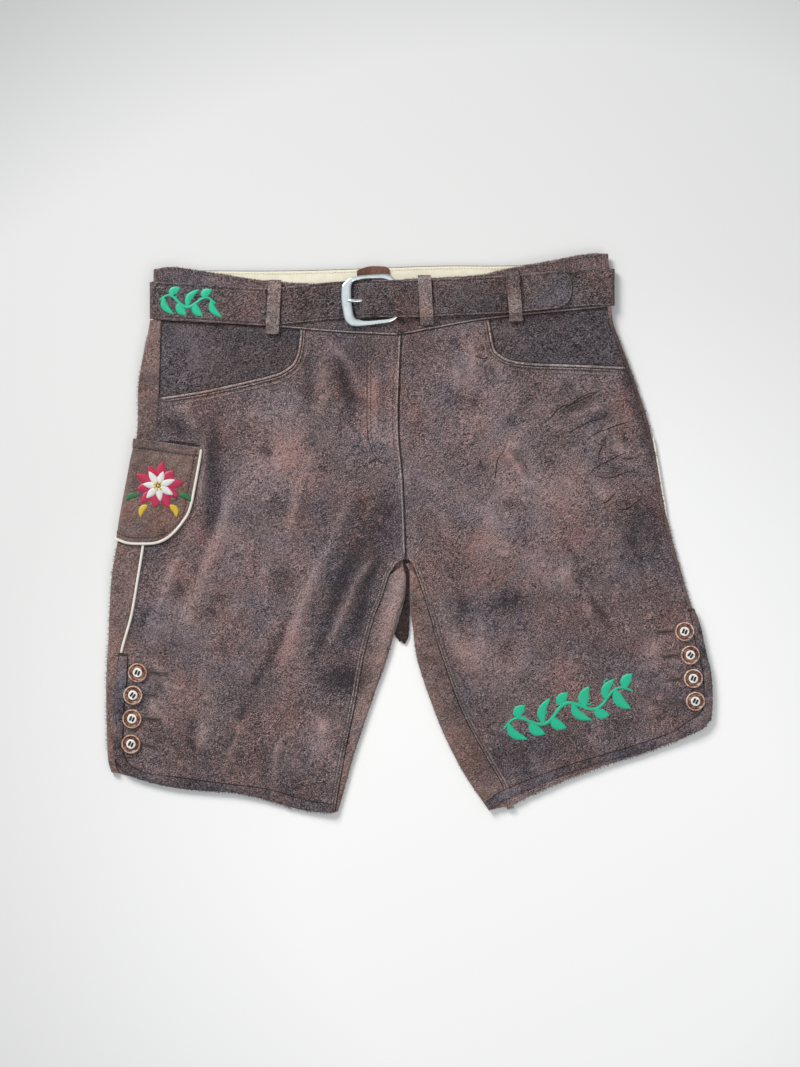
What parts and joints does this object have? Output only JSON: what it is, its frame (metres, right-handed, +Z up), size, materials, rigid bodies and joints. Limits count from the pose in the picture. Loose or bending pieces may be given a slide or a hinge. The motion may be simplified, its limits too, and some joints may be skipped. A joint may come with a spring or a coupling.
{
  "type": "lederhosen",
  "caption": "Short suede breeches laid flat, with side vents and horn buttons, scoop pockets, a piped patch pocket and a belt with a heel-bar buckle.",
  "frame": {"origin": "centre of the garment's footprint on the surface it lies on", "axes": "+Z up out of the garment's front, +Y towards the waist, +X towards the wearer's left"},
  "size_m": [0.6064, 0.5585, 0.0197],
  "materials": {
    "suede_front": "mottled grey-brown suede, napped and matte",
    "suede_back": "paler pinkish brown suede, napped and matte",
    "suede_facing": "dark grey-brown suede, matte",
    "belt_suede": "dark grey-brown suede, napped and matte",
    "cream_lining": "cream cotton twill, matte",
    "cream_piping": "cream piping cord, matte",
    "hanger_brown": "smooth brown leather, satin",
    "satin_nickel": "satin nickel with fine scratches",
    "horn": "brown horn with a pale centre, satin"
  },
  "bodies": {
    "root": {"back_left": "suede_back", "back_right": "suede_back", "belt": "belt_suede", "belt_loop_back_1": "suede_back", "belt_loop_back_2": "suede_back", "belt_loop_front_1": "suede_back", "belt_loop_front_2": "suede_back", "belt_loop_front_3": "suede_back", "buckle_frame": "satin_nickel", "buckle_prong": "satin_nickel", "button_left_1": "horn", "button_left_2": "horn", "button_left_3": "horn", "button_left_4": "horn", "button_right_1": "horn", "button_right_2": "horn", "button_right_3": "horn", "button_right_4": "horn", "crotch_tab": "suede_facing", "front_left": "suede_front", "front_right": "suede_front", "hanger_tab": "hanger_brown", "pocket_facing_left": "suede_facing", "pocket_facing_right": "suede_facing", "side_piping_left": "cream_piping", "side_piping_right": "cream_piping", "side_pocket": "suede_front", "side_pocket_piping": "cream_piping", "waistband_back": "suede_back", "waistband_front_left": "suede_front", "waistband_front_right": "suede_front", "waistband_lining": "cream_lining"}
  },
  "joints": []
}
